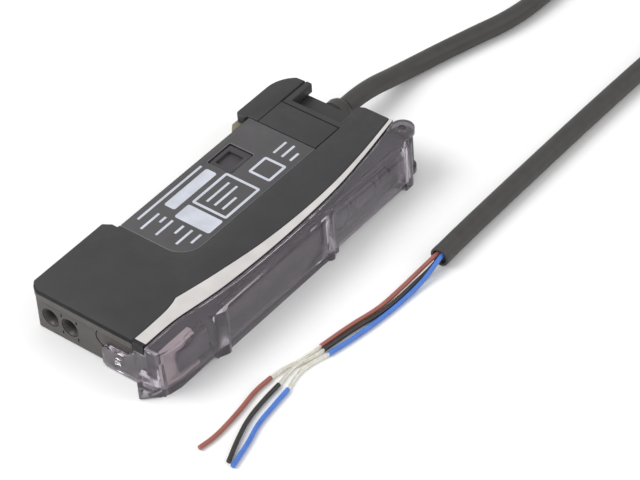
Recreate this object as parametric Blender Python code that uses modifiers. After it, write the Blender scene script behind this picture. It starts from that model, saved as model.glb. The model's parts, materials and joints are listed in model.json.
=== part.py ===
"""Slim fibre optic sensor amplifier for a 35 mm rail, lying on its broad side.

Sizes are in millimetres, measured from the corner where the fibre end meets the rail side:
x runs along the housing to the cable end, y points to the rail (so the housing lies at
negative y), and z is the thickness, from the face it lies on to the face with the label.
The helper at() turns them into metres, with the origin under the middle of the object.
"""

import math

import bmesh
import bpy
from mathutils import Matrix, Vector

MM = 0.001

# Driving dimensions
THICK = 10.0  # housing thickness, the pitch of such amplifiers on a rail
LENGTH = 70.1  # fibre end to cable end of the housing
RAIL_SIDE = 0.3  # outer edge on the rail side
SLOT_FLOOR = -2.5  # bottom of the rail slot
SLOT_START = 19.5
SLOT_WIDTH = 36.2  # takes a 35 mm rail
COVER_FACE = -31.35  # front face of the clear cover
RIDGE_FACE = -32.0  # top of the two ridges beside the display pane
TAB_TIP = -4.0  # finger tab of the cover
GLAND_END = 72.2  # strain relief
CABLE_D = 3.7
WIRE_D = 0.85
STRAND_D = 0.5

# Fits
GAP = 0.3  # clearance between neighbouring pieces
SEAM = 0.12  # hairline at a flush seam
COVER_GAP = 0.4  # between the cover's skirts and the light band

# Housing
WALL = 1.2
LID_THICK = 2.1
LID_LOW = THICK - LID_THICK
LID_LIP = 1.0  # the lid reaches this far past the end face
CASE_TOP = LID_LOW - GAP
SLOT_END = SLOT_START + SLOT_WIDTH
FRONT_BLOCK = 18.5  # rail side edge of the front block
LIP_REACH = 1.4  # fixed lip over the rail's edge
RAIL_ROOM = 1.3  # rail's edge under the lips
ANCHOR_X = 62.0  # solid block that holds the cable
POCKET = (64.1, -17.2, -6.0)  # notch in the lid above the cable exit: its start and two y values

# Rail latch
LATCH_SEAM = -4.6
LATCH_PLATE = (55.9, 62.6, -17.9)
CLAW_TIP = 52.7
CLAW_TRAVEL = 2.2
CLAW_LOW, CLAW_HIGH = 1.9, 8.1
NOSE_FOOT = SLOT_FLOOR + 1.3
NOSE_END = 58.4
TAIL = (57.4, 62.2, -4.2)  # the claw's deep part: two x values and its y
SPRING_END = 68.0
SPRING_Y = -2.55
SPRING_WIRE = 0.4
SPRING_R = 1.0
SPRING_TURNS = 5.0

# Fibre end
BORE_Y = (-3.3, -7.8)
BORE_Z = 3.6
BORE_R = 1.25
BUSH_WALL = 0.55
BUSH_R = BORE_R + BUSH_WALL
FUNNEL_R = BUSH_R - 0.1
BUSH_LENGTH = 9.0
END_PLATE_R = 1.85  # half the height of the round-ended plate beside the holes
END_PLATE = (-23.2, -15.95, 5.45)  # its far end, the middle of its round end, and its height

# Deck under the cover
DECK_FACE = -28.9
DECK_LOW, DECK_HIGH = 1.5, 8.5
DECK_WALL = 1.2
TONGUE = 1.8  # the frame's walls reach this far into the case
DISPLAY = (15.6, 41.6)
DISPLAY_FACE = -30.05
BOARD_FACE = -25.0
BOARD_THICK = 0.8
KEY_FACE = -29.5
KEY_PLATE_FACE = KEY_FACE + 0.05
KEY_FOOT = -26.95
TUNE_X, TUNE_R = 47.9, 2.1
ROCKER_X, ROCKER_HALF = 55.0, 3.1
ROCKER_PIVOT = -27.9
MODE_X, MODE_R = 61.0, 1.5

# Cover
SKIRT = 1.1
COVER_WALL = 0.95
HINGE = (69.3, -27.35)
KNUCKLE_R = 2.3
LUG_R = 1.9
PIN_R = 0.7
SHOULDER = (0.85, 2.1)  # depth and width of the sloped shoulders
LEVER = (10.0, -28.5)
CAM_LOW, CAM_HIGH = 1.45, 2.0  # the lever's cam, round its pin
CLAMP_FOOT = LEVER[1] + CAM_HIGH + 0.2

MID_X = (TAB_TIP + GLAND_END) / 2
MID_Y = (RIDGE_FACE + RAIL_SIDE) / 2

# Edges of the light band between housing and cover, along the label face
BAND_TOP_FRONT = [(-1.0, -23.65), (3.0, -23.7), (7.5, -23.6), (9.8, -23.3), (11.4, -22.85)]
BAND_TOP_REAR = [
    (11.4, -22.85), (15.0, -23.6), (20.0, -24.55), (30.0, -26.05), (40.0, -26.7), (50.0, -26.6),
    (60.0, -25.6), (LENGTH, -24.0),
]
BAND_FOOT = [
    (-1.0, -26.1), (4.0, -26.1), (8.0, -26.3), (14.0, -27.2), (20.0, -27.85), (30.0, -28.3),
    (40.0, -28.25), (50.0, -27.75), (60.0, -26.4), (LENGTH, -24.65),
]

# Cable: its own points, laid by hand on the surface beside the housing
GLAND_AXIS = (-11.3, 5.0)  # y and z of the cable where it leaves the housing
REST_Z = CABLE_D / 2 + 0.05
LEAD_ROUTE = [
    (GLAND_END + GAP, GLAND_AXIS[0], GLAND_AXIS[1]), (76.5, -11.3, 4.9), (81.0, -11.4, 4.3),
    (86.0, -11.6, 3.1), (91.5, -12.1, 2.1), (98.0, -13.7, REST_Z), (106.0, -16.1, REST_Z),
    (114.0, -18.5, REST_Z), (122.0, -19.5, REST_Z), (130.0, -19.3, REST_Z), (138.0, -17.9, REST_Z),
    (145.0, -15.8, REST_Z), (152.2, -13.25, REST_Z),
]
TAIL_ROUTE = [
    (152.2, -54.75, 10.3), (145.0, -52.3, 7.6), (138.0, -50.4, 5.2), (130.0, -49.0, 3.1),
    (122.0, -48.2, 2.1), (115.0, -47.9, REST_Z), (99.0, -47.7, REST_Z), (84.0, -47.7, REST_Z),
    (68.0, -47.8, REST_Z), (60.0, -47.9, REST_Z), (52.4, -48.1, REST_Z),
]
COIL_CENTRE = (176.5, -34.0)
COIL_RADIUS = 20.85  # at the middle of the turns
COIL_WIDE, COIL_HIGH = 17.3, 15.05  # between three and four turns side by side, four layers
COIL_LOW = 0.85  # room for the tie under the turns
TIE_THICK, TIE_WIDE = 0.5, 4.0

# The stripped end: each wire's insulation, its bare strands and the slug pushed out to their tips
WIRES = {
    "brown": (
        [(52.0, -47.6, 2.35), (49.6, -47.3, 1.9), (46.8, -46.9, 1.2), (42.6, -46.75, 0.9),
         (37.3, -46.4, 0.6), (30.6, -45.0, 0.48), (23.8, -44.0, 0.48)],
        [(23.4, -43.9, 0.45), (19.0, -43.2, 0.45), (16.0, -42.2, 0.45), (13.3, -41.85, 0.45)],
        [(12.9, -41.8, 0.48), (9.1, -41.7, 0.48), (3.8, -42.4, 0.48), (-0.3, -42.8, 0.48),
         (-3.6, -42.9, 0.48), (-6.9, -42.5, 0.48)],
    ),
    "black": (
        [(52.0, -48.1, 1.45), (49.0, -48.0, 1.0), (45.5, -47.7, 0.55), (41.3, -47.7, 0.48),
         (36.3, -47.3, 0.48), (29.8, -45.95, 0.48), (23.4, -44.95, 0.48)],
        [(23.0, -44.9, 0.45), (20.2, -44.3, 0.45), (17.6, -43.4, 0.45), (15.3, -43.4, 0.45),
         (12.8, -43.85, 0.45)],
        [(12.4, -43.95, 0.48), (8.0, -44.25, 0.48), (3.0, -45.0, 0.48), (-1.4, -46.4, 0.48),
         (-6.5, -48.5, 0.48)],
    ),
    "blue": (
        [(52.0, -48.65, 2.35), (49.5, -48.8, 1.8), (46.5, -48.8, 1.0), (41.1, -48.65, 0.5),
         (35.7, -48.3, 0.48), (30.0, -47.6, 0.48), (23.1, -46.3, 0.48)],
        [(22.7, -46.2, 0.45), (19.5, -45.2, 0.45), (17.0, -44.9, 0.45), (14.6, -45.25, 0.45),
         (12.8, -45.8, 0.45)],
        [(12.4, -45.95, 0.48), (8.1, -46.4, 0.48), (3.0, -47.1, 0.48), (-1.2, -48.35, 0.48),
         (-6.9, -49.75, 0.48)],
    ),
}


def at(x, y, z=0.0):
    """A place in metres, in the object's own frame, from millimetres on the housing."""
    return Vector((x - MID_X, y - MID_Y, z)) * MM


def smooth(points, steps=4):
    """Points along a Catmull-Rom curve through the given ones."""
    places = [Vector(p) for p in points]
    places = [2 * places[0] - places[1], *places, 2 * places[-1] - places[-2]]
    found = []
    for a, b, c, d in zip(places, places[1:], places[2:], places[3:]):
        for k in range(steps):
            t = k / steps
            found.append(0.5 * (2 * b + (c - a) * t + (2 * a - 5 * b + 4 * c - d) * t * t
                                + (3 * b - a - 3 * c + d) * t ** 3))
    found.append(places[-2])
    return [tuple(p) for p in found]


def evenly(points, spacing):
    """Points about this far apart along the smooth curve through the given ones."""
    fine = [Vector(p) for p in smooth(points, 24)]
    total = sum((b - a).length for a, b in zip(fine, fine[1:]))
    count = max(2, round(total / spacing))
    found, run, goal = [fine[0]], 0.0, 1
    for a, b in zip(fine, fine[1:]):
        step = (b - a).length
        while goal < count and run + step >= goal * total / count:
            found.append(a.lerp(b, (goal * total / count - run) / step))
            goal += 1
        run += step
    return [*found, fine[-1]]


def between(points, low, high):
    """The part of an edge, given from left to right, whose x lies in this range."""
    inside = [p for p in points if low < p[0] < high]
    return [(low, height(points, low)), *inside, (high, height(points, high))]


def height(points, x):
    """The y of an edge at x, on the straight line between its points."""
    for (x0, y0), (x1, y1) in zip(points, points[1:]):
        if x0 <= x <= x1:
            return y0 + (y1 - y0) * (x - x0) / (x1 - x0)
    return points[0][1] if x < points[0][0] else points[-1][1]


def shifted(points, dy):
    return [(x, y + dy) for x, y in points]


def arc(x, y, radius, start, end, steps=8):
    """Points on an arc, its angles in degrees."""
    turns = [math.radians(start + (end - start) * k / steps) for k in range(steps + 1)]
    return [(x + radius * math.cos(t), y + radius * math.sin(t)) for t in turns]


def rounded(x0, y0, x1, y1, radius, steps=4):
    """A rectangle with round corners."""
    return (arc(x1 - radius, y1 - radius, radius, 0, 90, steps)
            + arc(x0 + radius, y1 - radius, radius, 90, 180, steps)
            + arc(x0 + radius, y0 + radius, radius, 180, 270, steps)
            + arc(x1 - radius, y0 + radius, radius, 270, 360, steps))


band_top = smooth(BAND_TOP_FRONT)[:-1] + smooth(BAND_TOP_REAR)
band_foot = smooth(BAND_FOOT)

for old in list(bpy.data.objects):
    bpy.data.objects.remove(old, do_unlink=True)

parts = bpy.data.collections.new("fibre_optic_sensor_amplifier")
cutters = bpy.data.collections.new("cutters")
bpy.context.scene.collection.children.link(parts)
bpy.context.scene.collection.children.link(cutters)
cutters.hide_render = True


def material(name, colour, roughness, metallic=0.0, transmission=0.0):
    made = bpy.data.materials.new(name)
    made.use_nodes = True
    shader = made.node_tree.nodes["Principled BSDF"]
    shader.inputs["Base Color"].default_value = (*colour, 1.0)
    shader.inputs["Roughness"].default_value = roughness
    shader.inputs["Metallic"].default_value = metallic
    shader.inputs["Transmission Weight"].default_value = transmission
    made.diffuse_color = (*colour, 1.0)
    return made


DARK = material("dark_plastic", (0.060, 0.058, 0.060), 0.55)
END_GREY = material("end_face_plastic", (0.105, 0.095, 0.088), 0.55)
LIGHT = material("light_band_plastic", (0.68, 0.66, 0.64), 0.5)
FILM = material("label_film", (0.105, 0.102, 0.106), 0.35)
WINDOW = material("infrared_window", (0.030, 0.028, 0.030), 0.15)
SMOKE = material("smoke_clear_plastic", (0.33, 0.30, 0.33), 0.08, transmission=0.85)
KEY = material("key_plastic", (0.16, 0.16, 0.17), 0.45)
GREEN_BOARD = material("circuit_board", (0.02, 0.11, 0.06), 0.5)
CHIP = material("black_component", (0.02, 0.02, 0.022), 0.4)
STEEL = material("spring_steel", (0.62, 0.62, 0.63), 0.3, 1.0)
CLAW = material("claw_acetal", (0.23, 0.20, 0.14), 0.45)
SLEEVE = material("fibre_bush_plastic", (0.045, 0.042, 0.040), 0.4)
JACKET = material("cable_jacket", (0.052, 0.050, 0.046), 0.6)
TIE = material("coil_tie", (0.03, 0.03, 0.03), 0.5)
BROWN = material("brown_insulation", (0.34, 0.11, 0.08), 0.45)
BLACK = material("black_insulation", (0.04, 0.035, 0.03), 0.45)
BLUE = material("blue_insulation", (0.08, 0.22, 0.68), 0.45)
TINNED = material("tinned_strands", (0.72, 0.70, 0.60), 0.4, 0.3)


def add(name, mesh, look, pivot=None):
    """A part whose mesh is in the object's frame, with its origin moved to pivot."""
    made = bpy.data.objects.new(name, mesh)
    mesh.materials.clear()
    mesh.materials.append(look)
    parts.objects.link(made)
    if pivot is not None:
        mesh.transform(Matrix.Translation(-pivot))
        made.location = pivot
    return made


def extruded(name, outline, place, along):
    """A mesh made by one flat face, whose points place() sets, moved along a vector."""
    shape = bmesh.new()
    face = shape.faces.new([shape.verts.new(place(a, b)) for a, b in outline])
    grown = bmesh.ops.extrude_face_region(shape, geom=[face])["geom"]
    bmesh.ops.translate(shape, verts=[v for v in grown if isinstance(v, bmesh.types.BMVert)], vec=along)
    bmesh.ops.recalc_face_normals(shape, faces=shape.faces)
    mesh = bpy.data.meshes.new(name)
    shape.to_mesh(mesh)
    shape.free()
    return mesh


def flat(name, outline, low, high, look, pivot=None):
    """An outline in the plane of the label, from one height in the thickness to another."""
    mesh = extruded(name, outline, lambda x, y: at(x, y, low), Vector((0, 0, high - low)) * MM)
    return add(name, mesh, look, pivot)


def facing(name, outline, y0, y1, look, pivot=None):
    """An outline in x and z, as seen on the deck, from one depth to another."""
    mesh = extruded(name, outline, lambda x, z: at(x, y0, z), Vector((0, y1 - y0, 0)) * MM)
    return add(name, mesh, look, pivot)


def endwise(name, outline, x0, x1, look):
    """An outline in y and z, as seen on the end face, from one x to another."""
    mesh = extruded(name, outline, lambda y, z: at(x0, y, z), Vector((x1 - x0, 0, 0)) * MM)
    return add(name, mesh, look)


def block(name, x0, x1, y0, y1, z0, z1, look):
    bpy.ops.mesh.primitive_cube_add(size=1)
    made = bpy.context.object
    mesh = made.data
    bpy.data.objects.remove(made)
    sides = Matrix.Diagonal((x1 - x0, y1 - y0, z1 - z0, 1)) * MM
    sides[3][3] = 1
    middle = at((x0 + x1) / 2, (y0 + y1) / 2, (z0 + z1) / 2)
    mesh.transform(Matrix.Translation(middle) @ sides)
    mesh.name = name
    return add(name, mesh, look)


def rod(name, centre, axis, length, radius, look, sides=32):
    """A cylinder about its middle."""
    shape = bmesh.new()
    bmesh.ops.create_cone(shape, cap_ends=True, segments=sides, radius1=radius * MM,
                          radius2=radius * MM, depth=length * MM)
    turn = Vector((0, 0, 1)).rotation_difference(Vector(axis)).to_matrix().to_4x4()
    shape.transform(Matrix.Translation(at(*centre)) @ turn)
    mesh = bpy.data.meshes.new(name)
    shape.to_mesh(mesh)
    shape.free()
    mesh.shade_smooth()
    mesh.set_sharp_from_angle(angle=math.radians(40))
    return add(name, mesh, look)


def turned(name, profile, centre, axis, look, sides=32):
    """A profile of (radius, distance along axis), top to bottom on its outer side, spun round."""
    mesh = bpy.data.meshes.new(name)
    mesh.from_pydata([(r * MM, 0, h * MM) for r, h in profile],
                     [(k, (k + 1) % len(profile)) for k in range(len(profile))], [])
    made = add(name, mesh, look)
    made.matrix_world = (Matrix.Translation(at(*centre))
                         @ Vector((0, 0, 1)).rotation_difference(Vector(axis)).to_matrix().to_4x4())
    spin = made.modifiers.new("spin", "SCREW")
    spin.steps = spin.render_steps = sides
    spin.use_merge_vertices = True
    spin.merge_threshold = 0.000001
    spin.use_smooth_shade = True
    return made


def use(target, tool, operation):
    """A Boolean whose tool is kept, hidden, with the other cutters."""
    for owner in list(tool.users_collection):
        owner.objects.unlink(tool)
    cutters.objects.link(tool)
    tool.hide_render = True
    tool.display_type = "WIRE"
    step = target.modifiers.new(tool.name, "BOOLEAN")
    step.operation = operation
    step.object = tool
    step.solver = "EXACT"


def cut(target, *tools):
    for tool in tools:
        use(target, tool, "DIFFERENCE")


def join(target, *tools):
    for tool in tools:
        use(target, tool, "UNION")


def soften(target, width, segments=2):
    """Rounded edges."""
    bevel = target.modifiers.new("soft_edges", "BEVEL")
    bevel.width = width * MM
    bevel.segments = segments
    bevel.limit_method = "ANGLE"
    bevel.angle_limit = math.radians(35)


def tube(name, points, diameter, look):
    """A round wire or cable along points in the object's frame."""
    curve = bpy.data.curves.new(name, "CURVE")
    curve.dimensions = "3D"
    curve.bevel_depth = diameter / 2 * MM
    curve.bevel_resolution = 2
    curve.use_fill_caps = True
    line = curve.splines.new("POLY")
    line.points.add(len(points) - 1)
    for point, place in zip(line.points, points):
        point.co = (*place, 1)
    curve.materials.append(look)
    made = bpy.data.objects.new(name, curve)
    parts.objects.link(made)
    return made


def laid(name, route, diameter, look, spacing):
    """A tube on an even run of points along the smooth curve through its route."""
    return tube(name, [at(*p) for p in evenly(route, spacing)], diameter, look)


def housing_outline(front):
    """The housing's outline, up to the latch seam at the cable end, for the case and the lid."""
    lower = shifted(between(band_top, front, LENGTH - 0.1), SEAM)
    rail = [
        (SLOT_START, SLOT_FLOOR), (SLOT_START, -1.3), (SLOT_START - 0.4, -0.7),
        (FRONT_BLOCK, RAIL_SIDE), (0.7, RAIL_SIDE),
    ]
    return lower, rail


def make_case():
    lower, rail = housing_outline(0.0)
    seam = LATCH_SEAM - GAP
    outline = [
        *lower, (LENGTH, -23.6), (LENGTH, -18.6), (69.3, -18.0), (69.3, seam),
        (SLOT_END - 0.1, seam), (SLOT_END - 0.1, SLOT_FLOOR), *rail, (0.0, -0.3),
    ]
    case = flat("case", outline, 0.0, CASE_TOP, END_GREY)
    soften(case, 0.2, 1)
    inner = [
        (WALL, height(band_top, 0) - 3.0), (LENGTH - WALL, -30.0), (LENGTH - WALL, -19.0),
        (ANCHOR_X, -18.4), (ANCHOR_X, seam - WALL), (SLOT_END - 1.4, seam - WALL),
        (SLOT_END - 1.4, SLOT_FLOOR - WALL), (SLOT_START - WALL, SLOT_FLOOR - WALL),
        (SLOT_START - WALL, RAIL_SIDE - WALL), (WALL, RAIL_SIDE - WALL),
    ]
    cut(case, flat("case_room", inner, WALL, THICK, END_GREY))
    for name, y in zip(("emitter", "receiver"), BORE_Y):
        cut(case, rod(f"{name}_bore", (0.5, y, BORE_Z), (1, 0, 0), 4.0, BUSH_R + SEAM, END_GREY))
    for side in (-1, 1):
        for rise in (-1, 1):
            y, z = BORE_Y[1] + side * 1.75, BORE_Z + rise * 1.95
            cut(case, block(f"mark_{side}_{rise}", -1.0, 0.3, y - 0.17, y + 0.17, z - 0.35, z + 0.35,
                            END_GREY))
    cut(case, rod("gland_seat", (68.0, *GLAND_AXIS), (1, 0, 0), 14.0, 2.2 + GAP, END_GREY))
    cut(case, block("ear_recess", -1.0, 0.42, -26.5, -15.3, -1.0, 5.3, END_GREY))
    cut(case, endwise("insert_recess", insert_outline(SEAM), -1.0, 0.75, END_GREY))
    cut(case, flat("far_window_seat", rounded(*WINDOW_BOX, 0.3), -1.0, WALL + 1, END_GREY))
    lip = flat("rail_lip", [
        (SLOT_START - 1.0, SLOT_FLOOR + RAIL_ROOM), (SLOT_START + LIP_REACH, SLOT_FLOOR + RAIL_ROOM),
        (SLOT_START + LIP_REACH, SLOT_FLOOR + RAIL_ROOM + 0.4), (SLOT_START + 0.2, RAIL_SIDE),
        (SLOT_START - 1.0, RAIL_SIDE),
    ], 1.0, CASE_TOP - 0.4, END_GREY)
    join(case, lip)
    join(case, block("snap_boss", 0.2, 1.0, -20.3, -18.7, 1.7, 3.2, END_GREY))


def insert_outline(extra=0.0):
    """The round-ended plate beside the fibre holes, in y and z on the end face."""
    end, middle, height_z = END_PLATE
    radius = END_PLATE_R + extra
    return [*arc(middle, height_z, radius, -90, 90, 12), (end - extra, height_z + radius),
            (end - extra, height_z - radius)]


def make_end_insert():
    endwise("end_insert", insert_outline(), 0.05, 0.5, END_GREY)


def make_lid():
    lower, rail = housing_outline(-LID_LIP)
    seam = LATCH_SEAM - SEAM
    plate_low, plate_high, plate_foot = LATCH_PLATE
    outline = [
        *lower, (LENGTH, -23.6), (LENGTH, -18.4), (LENGTH - 0.5, POCKET[1]), (POCKET[0], POCKET[1]),
        (POCKET[0], POCKET[2]), (LENGTH - 0.1, POCKET[2]), (LENGTH - 0.1, seam),
        (plate_high + SEAM, seam), (plate_high + SEAM, plate_foot - SEAM),
        (plate_low - SEAM, plate_foot - SEAM), (plate_low - SEAM, SLOT_FLOOR), *rail,
        (-0.3, -0.5), (-LID_LIP, -1.7),
    ]
    lid = flat("case_lid", outline, LID_LOW, THICK, DARK)
    soften(lid, 0.2)
    hollow = rounded(2.0, -22.0, 17.0, -2.5, 0.8)
    cut(lid, flat("lid_hollow_front", hollow, LID_LOW - 1, LID_LOW + 0.7, DARK))
    hollow = rounded(22.0, -22.5, 53.0, -12.0, 0.8)
    cut(lid, flat("lid_hollow_rear", hollow, LID_LOW - 1, LID_LOW + 0.5, DARK))
    cut(lid, flat("film_recess", film_outline(SEAM), THICK - 0.6, THICK + 1, DARK))
    cut(lid, flat("window_seat", rounded(*WINDOW_BOX, 0.3), LID_LOW - 1, THICK, DARK))


WINDOW_BOX = (41.8, -10.0, 48.3, -4.3)  # x and y of the square window, low then high


def film_outline(extra=0.0):
    """The label film: a rectangle with one large round corner."""
    left, right, foot, head = 20.0 - extra, 55.3, -18.0 - extra, SLOT_FLOOR - 0.2
    if extra:
        right, head = 57.0, SLOT_FLOOR + 1.0
    radius = 4.5
    corner = arc(left + radius, foot + radius, radius, 180, 270, 8)
    return [(left, head), *corner, (right, foot), (right, head)]


def make_film():
    film = flat("label_film", film_outline(), THICK - 0.3, THICK - 0.02, FILM)
    cut(film, flat("film_window", rounded(*WINDOW_BOX, 0.3), THICK - 1, THICK + 1, FILM))


def make_window(name, low, high, step_low, step_high):
    """A square window for the light link to the next amplifier, with a sunk middle."""
    x0, y0, x1, y1 = WINDOW_BOX
    window = flat(name, rounded(x0 + 0.25, y0 + 0.25, x1 - 0.25, y1 - 0.25, 0.3), low, high, WINDOW)
    cut(window, flat(f"{name}_sink", rounded(x0 + 1.0, y0 + 1.1, x1 - 1.6, y1 - 1.1, 0.3),
                     step_low, step_high, WINDOW))


def make_latch_housing():
    seam = LATCH_SEAM
    plate_low, plate_high, plate_foot = LATCH_PLATE
    hook = [
        (SLOT_END + 0.3, seam), (SLOT_END + 0.3, -2.3), (SLOT_END - 0.5, -1.9),
        (SLOT_END - 0.6, -0.4), (SLOT_END + 0.1, RAIL_SIDE), (64.4, RAIL_SIDE),
        *arc(64.4, RAIL_SIDE - 6.6, 6.6, 86, 35, 7), (LENGTH - 0.2, seam),
    ]
    housing = flat("latch_housing", hook, 0.0, THICK, DARK)
    soften(housing, 0.25)
    join(housing, flat("latch_plate", [
        (plate_low, seam + 0.5), (plate_low, plate_foot), (plate_high, plate_foot),
        (plate_high, seam + 0.5),
    ], LID_LOW, THICK, DARK))
    low, high = CLAW_LOW - GAP, CLAW_HIGH + GAP
    cut(housing, block("nose_way", SLOT_END - 3, NOSE_END + CLAW_TRAVEL + GAP, NOSE_FOOT - GAP, 3.0,
                       low, high, DARK))
    cut(housing, block("tail_way", SLOT_END + 1.0, SPRING_END + 0.2, seam - 2.0, NOSE_FOOT + GAP,
                       low, high, DARK))
    cut(housing, block("seam_line", plate_low - 1, plate_high + 1, seam - 0.1, seam + 0.1,
                       THICK - 0.2, THICK + 1, DARK))


def make_claw():
    outline = [
        (CLAW_TIP, NOSE_FOOT), (TAIL[0], NOSE_FOOT), (TAIL[0], TAIL[2]), (TAIL[1], TAIL[2]),
        (TAIL[1], NOSE_FOOT), (NOSE_END, NOSE_FOOT), (NOSE_END, RAIL_SIDE), (CLAW_TIP + 1.5, RAIL_SIDE),
        (CLAW_TIP, NOSE_FOOT + 0.35),
    ]
    claw = flat("rail_claw", outline, CLAW_LOW, CLAW_HIGH, CLAW, pivot=at(CLAW_TIP, NOSE_FOOT, THICK / 2))
    soften(claw, 0.12, 1)


def make_claw_spring():
    """A round wire wound along x, from the claw's tail to the end of its way."""
    start, end = TAIL[1] + GAP, SPRING_END
    per_turn = 14
    count = int(SPRING_TURNS * per_turn)
    points = []
    for k in range(count + 1):
        turn = 2 * math.pi * k / per_turn
        x = start + SPRING_WIRE / 2 + (end - start - SPRING_WIRE) * k / count
        points.append(at(x, SPRING_Y + SPRING_R * math.cos(turn), THICK / 2 + SPRING_R * math.sin(turn)))
    tube("claw_spring", points, SPRING_WIRE, STEEL)


def make_fibre_parts():
    """A bush in each bore, and the emitting and receiving blocks behind them."""
    for name, y in zip(("emitter", "receiver"), BORE_Y):
        end = 0.1 + BUSH_LENGTH
        turned(f"{name}_fibre_bush", [
            (BORE_R, BUSH_LENGTH), (BUSH_R, BUSH_LENGTH), (BUSH_R, 0.0), (FUNNEL_R, 0.0), (BORE_R, 0.9),
        ], (0.1, y, BORE_Z), (1, 0, 0), SLEEVE)
        holder = block(f"{name}_block", end + 0.2, end + 6.2, y - 1.9, y + 1.9, WALL + GAP, LID_LOW - 0.9,
                       CHIP)
        cut(holder, rod(f"{name}_socket", (end, y, BORE_Z), (1, 0, 0), 6.0, BORE_R, CHIP))
        rod(f"{name}_chip", (end + 2.2, y, BORE_Z), (1, 0, 0), 0.8, BORE_R - GAP, SMOKE)


def make_boards():
    """The main board on the case's floor side, and the board behind the keys."""
    main = [
        (17.5, -5.0), (17.5, -13.5), (4.0, -13.5), (4.0, -21.5), (60.5, -21.5), (60.5, -6.5),
        (53.8, -6.5), (53.8, -5.0),
    ]
    flat("main_board", main, 2.6, 2.6 + BOARD_THICK, GREEN_BOARD)
    block("controller", 24.0, 32.0, -18.5, -10.5, 2.6 + BOARD_THICK + 0.1, 4.6, CHIP)
    block("supply_choke", 45.0, 51.0, -17.5, -11.5, 2.6 + BOARD_THICK + 0.1, 6.2, CHIP)
    block("key_board", 14.5, 65.0, BOARD_FACE, BOARD_FACE + BOARD_THICK, DECK_LOW + 1.8, DECK_HIGH - 1.8,
          GREEN_BOARD)
    for name, x in (("tune_switch", TUNE_X), ("down_switch", ROCKER_X - 2.0),
                    ("up_switch", ROCKER_X + 2.0), ("mode_switch", MODE_X)):
        base = block(name, x - 1.4, x + 1.4, BOARD_FACE - 1.1, BOARD_FACE - 0.1, 3.6, 6.4, CHIP)
        join(base, rod(f"{name}_plunger", (x, BOARD_FACE - 1.2, 5.0), (0, 1, 0), 0.8, 0.6, CHIP, sides=16))


def make_panel_frame():
    """The light frame that closes the housing: its edge is the band, its middle the deck."""
    top, foot = between(band_top, 0.3, LENGTH), between(band_foot, 0.3, LENGTH)
    frame = flat("panel_frame", foot + top[::-1], 0.0, THICK, LIGHT)
    tip_top, tip_foot = between(band_top, -1.0, 1.0), between(band_foot, -1.0, 1.0)
    join(frame, flat("band_tip", tip_foot + tip_top[::-1], LID_LOW + 0.1, THICK, LIGHT))
    deck = [(0.5, DECK_FACE), (66.2, DECK_FACE), *shifted(between(band_top, 0.5, 66.2), -0.1)[::-1]]
    join(frame, flat("deck", deck, DECK_LOW, DECK_HIGH, LIGHT))
    for name, low in (("far_tongue", DECK_LOW), ("label_tongue", CASE_TOP - 0.9)):
        inner = between(band_top, 1.7, 60.0)
        tongue = shifted(inner, -0.5) + shifted(inner, TONGUE)[::-1]
        join(frame, flat(name, tongue, low, low + 0.9, LIGHT))
    lug = [(64.0, HINGE[1] + LUG_R), *arc(*HINGE, LUG_R, 90, -90, 12), (66.4, DECK_FACE + 0.3),
           (64.0, DECK_FACE + 0.3)]
    join(frame, flat("hinge_lug", lug, DECK_LOW, DECK_HIGH, LIGHT))
    rim = [(0.7, DECK_FACE + 0.5), (0.7, -29.0), (3.0, -29.65), (11.8, -29.95), (12.4, DECK_FACE + 0.5)]
    for name, low, high in (("far_rim", DECK_LOW, DECK_LOW + 0.7), ("label_rim", DECK_HIGH - 0.7, DECK_HIGH)):
        join(frame, flat(name, rim, low, high, LIGHT))
    room = [
        (1.7, -20.0), (1.7, DECK_FACE + DECK_WALL), (65.0, DECK_FACE + DECK_WALL), (65.0, -20.0),
    ]
    cut(frame, flat("frame_room", room, DECK_LOW + DECK_WALL, DECK_HIGH - DECK_WALL, LIGHT))
    cut(frame, flat("rim_window", [(3.4, -30.2), (6.2, -29.15), (10.4, -29.15), (10.4, -30.2)],
                    DECK_HIGH - 1.0, DECK_HIGH + 1, LIGHT))
    cut(frame, block("display_way", DISPLAY[0] + 1.2, DISPLAY[1] - 1.2, DECK_FACE - 1, DECK_FACE + 2,
                     3.0, 7.0, LIGHT))
    x, y = LEVER
    cut(frame, block("lever_way", x - 2.3, x + 2.2, DECK_FACE - 1, y + CAM_HIGH + GAP, 2.3, 7.7, LIGHT))
    cut(frame, rod("lever_pin_way", (x, y, 5.0), (0, 0, 1), DECK_HIGH - DECK_LOW - 0.8, PIN_R + 0.05, LIGHT))
    cut(frame, rod("hinge_pin_way", (*HINGE, 5.0), (0, 0, 1), 12.0, PIN_R + 0.05, LIGHT))
    for tool in key_cutters():
        cut(frame, tool)


def key_outline(x, half_x, half_z, extra=0.0):
    """A key's outline in x and z, with round ends: a circle if both halves are equal."""
    radius = half_z + extra
    reach = half_x - half_z
    if reach == 0:
        return arc(x, 5.0, radius, 0, 360, 24)[:-1]
    right, left = arc(x + reach, 5.0, radius, -90, 90, 12), arc(x - reach, 5.0, radius, 90, 270, 12)
    return right + left


KEYS = (("tune_button", TUNE_X, TUNE_R, TUNE_R), ("up_down_key", ROCKER_X, ROCKER_HALF, 1.7),
        ("mode_button", MODE_X, MODE_R, MODE_R))


def key_cutters():
    return [facing(f"{name}_way", key_outline(x, a, b, 0.25), DECK_FACE - 3, DECK_FACE + 2, LIGHT)
            for name, x, a, b in KEYS]


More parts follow.
